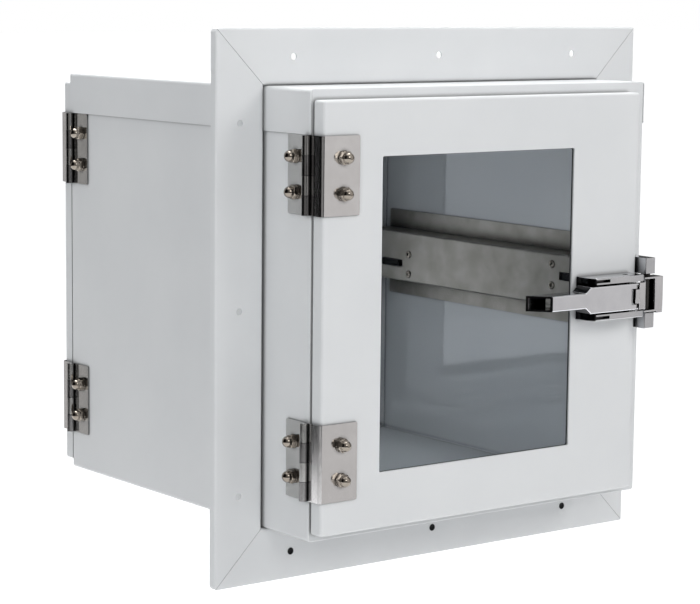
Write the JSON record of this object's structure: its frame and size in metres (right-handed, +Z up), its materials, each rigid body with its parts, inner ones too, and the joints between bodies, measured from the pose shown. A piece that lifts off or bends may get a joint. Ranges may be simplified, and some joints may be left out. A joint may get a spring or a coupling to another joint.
{
  "type": "cleanroom pass box",
  "caption": "Square wall-mounted pass-through chamber with a wall flange, hinged windowed doors at both ends, lever draw latches and a sliding door interlock.",
  "frame": {"origin": "centre of the wall flange, on the back face of its sheet", "axes": "+X to the right and +Z up as seen from the front room, +Y through the wall into the rear room"},
  "size_m": [0.4572, 0.444, 0.4572],
  "materials": {
    "powder_coat": "near-white powder coat on steel sheet",
    "stainless": "polished and brushed stainless steel",
    "chrome": "satin chrome plate on cast zinc and steel",
    "clear_sheet": "clear static-dissipative PVC sheet",
    "black_rubber": "black closed-cell rubber",
    "black_plastic": "black acetal"
  },
  "bodies": {
    "case": {"lower_shell": "powder_coat", "top_cap": "powder_coat", "flange_top": "powder_coat", "flange_bottom": "powder_coat", "flange_left": "powder_coat", "flange_right": "powder_coat", "flange_rivets": "stainless", "strike_roller_pins": "stainless", "strike_screws": "stainless", "interlock_rail": "stainless", "interlock_screws": "stainless", "interlock_guides": "black_plastic", "front_face_frame": "powder_coat", "front_upper_hinge_body_leaf": "stainless", "front_lower_hinge_body_leaf": "stainless", "front_upper_hinge_pin": "stainless", "front_lower_hinge_pin": "stainless", "front_body_cap_nuts": "stainless", "front_strike": "chrome", "rear_face_frame": "powder_coat", "rear_upper_hinge_body_leaf": "stainless", "rear_lower_hinge_body_leaf": "stainless", "rear_upper_hinge_pin": "stainless", "rear_lower_hinge_pin": "stainless", "rear_body_cap_nuts": "stainless", "rear_strike": "chrome"},
    "front_door": {"front_door_pan": "powder_coat", "front_door_liner": "powder_coat", "front_window_pane": "clear_sheet", "front_window_seal": "black_rubber", "front_door_gasket": "black_rubber", "front_upper_hinge_door_leaf": "stainless", "front_lower_hinge_door_leaf": "stainless", "front_door_cap_nuts": "stainless", "front_latch_housing": "chrome", "front_latch_pivot_pins": "stainless", "front_latch_screws": "stainless", "front_door_tongue": "stainless"},
    "rear_door": {"rear_door_pan": "powder_coat", "rear_door_liner": "powder_coat", "rear_window_pane": "clear_sheet", "rear_window_seal": "black_rubber", "rear_door_gasket": "black_rubber", "rear_upper_hinge_door_leaf": "stainless", "rear_lower_hinge_door_leaf": "stainless", "rear_door_cap_nuts": "stainless", "rear_latch_housing": "chrome", "rear_latch_pivot_pins": "stainless", "rear_latch_screws": "stainless", "rear_door_tongue": "stainless"},
    "front_lever": {"front_latch_lever": "chrome", "front_latch_hook_pin": "stainless"},
    "rear_lever": {"rear_latch_lever": "chrome", "rear_latch_hook_pin": "stainless"},
    "front_hook": {"front_latch_hook": "chrome"},
    "rear_hook": {"rear_latch_hook": "chrome"},
    "front_roller": {"front_strike_roller": "chrome"},
    "rear_roller": {"rear_strike_roller": "chrome"},
    "lock_bar": {"lock_bar": "black_plastic"}
  },
  "joints": [
    {"name": "front_door_hinge", "type": "hinge", "parent": "case", "child": "front_door", "pos_m": [-0.184, -0.062, -0.001], "axis": [0, 0, -1], "range_deg": [0, 115]},
    {"name": "front_lever_pivot", "type": "hinge", "parent": "front_door", "child": "front_lever", "pos_m": [0.138, -0.0915, -0.001], "axis": [0, 0, 1], "range_deg": [0, 60]},
    {"name": "front_hook_pivot", "type": "hinge", "parent": "front_lever", "child": "front_hook", "pos_m": [0.1435, -0.0997, -0.001], "axis": [0, 0, -1], "range_deg": [0, 90]},
    {"name": "front_roller_spin", "type": "hinge", "parent": "case", "child": "front_roller", "pos_m": [0.1678, -0.0859, -0.001], "axis": [0, 0, 1], "continuous": true},
    {"name": "rear_door_hinge", "type": "hinge", "parent": "case", "child": "rear_door", "pos_m": [-0.184, 0.302, -0.001], "axis": [0, 0, 1], "range_deg": [0, 115]},
    {"name": "rear_lever_pivot", "type": "hinge", "parent": "rear_door", "child": "rear_lever", "pos_m": [0.138, 0.3315, -0.001], "axis": [0, 0, -1], "range_deg": [0, 60]},
    {"name": "rear_hook_pivot", "type": "hinge", "parent": "rear_lever", "child": "rear_hook", "pos_m": [0.1435, 0.3397, -0.001], "axis": [0, 0, 1], "range_deg": [0, 90]},
    {"name": "rear_roller_spin", "type": "hinge", "parent": "case", "child": "rear_roller", "pos_m": [0.1678, 0.3259, -0.001], "axis": [0, 0, 1], "continuous": true},
    {"name": "lock_bar_slide", "type": "slide", "parent": "case", "child": "lock_bar", "axis": [0, 1, 0], "range_m": [-0.005, 0.005]}
  ],
  "couplings": [
    {"joint": "front_hook_pivot", "follows": "front_lever_pivot", "ratio": 1.5},
    {"joint": "rear_hook_pivot", "follows": "rear_lever_pivot", "ratio": 1.5}
  ]
}
